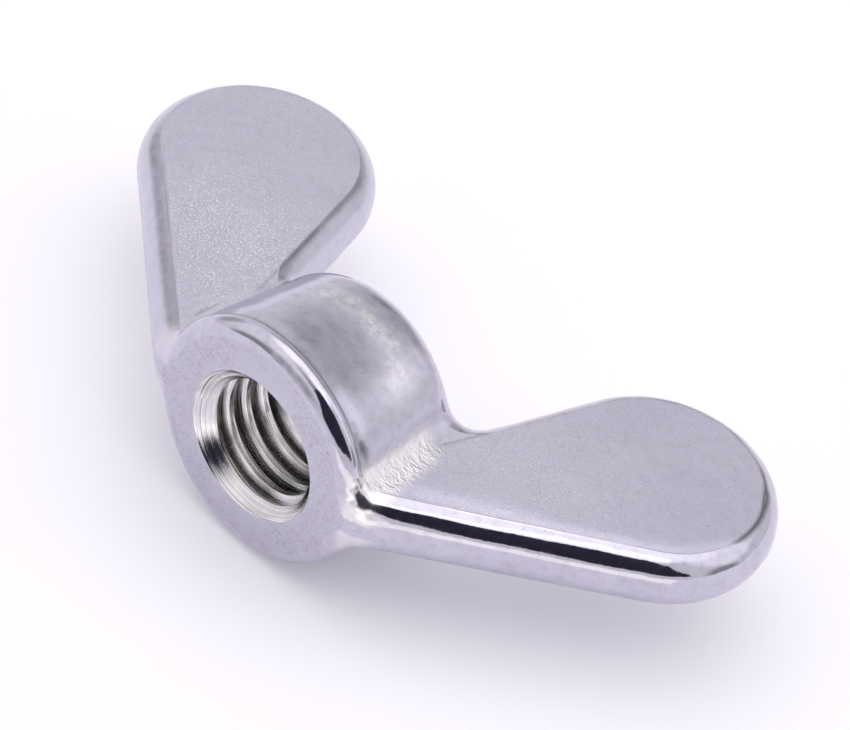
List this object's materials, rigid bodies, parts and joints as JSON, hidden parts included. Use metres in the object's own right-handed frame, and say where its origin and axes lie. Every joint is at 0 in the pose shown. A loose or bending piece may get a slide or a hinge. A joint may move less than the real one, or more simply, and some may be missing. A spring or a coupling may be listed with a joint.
{
  "type": "wing nut",
  "caption": "Wing nut with rounded wings, a slightly conical hub and a countersunk, threaded through bore.",
  "frame": {"origin": "centre of the bounding box, on the thread axis", "axes": "+Y along the thread axis from the bearing face towards the wing tips, +X along the span of the wings, +Z across the thickness of the wings"},
  "size_m": [0.053, 0.0262, 0.0172],
  "materials": {
    "stainless_steel": "matte cast skin with tumbled, polished edges and a bright machined bore"
  },
  "bodies": {
    "root": {"wing_nut": "stainless_steel"}
  },
  "joints": []
}
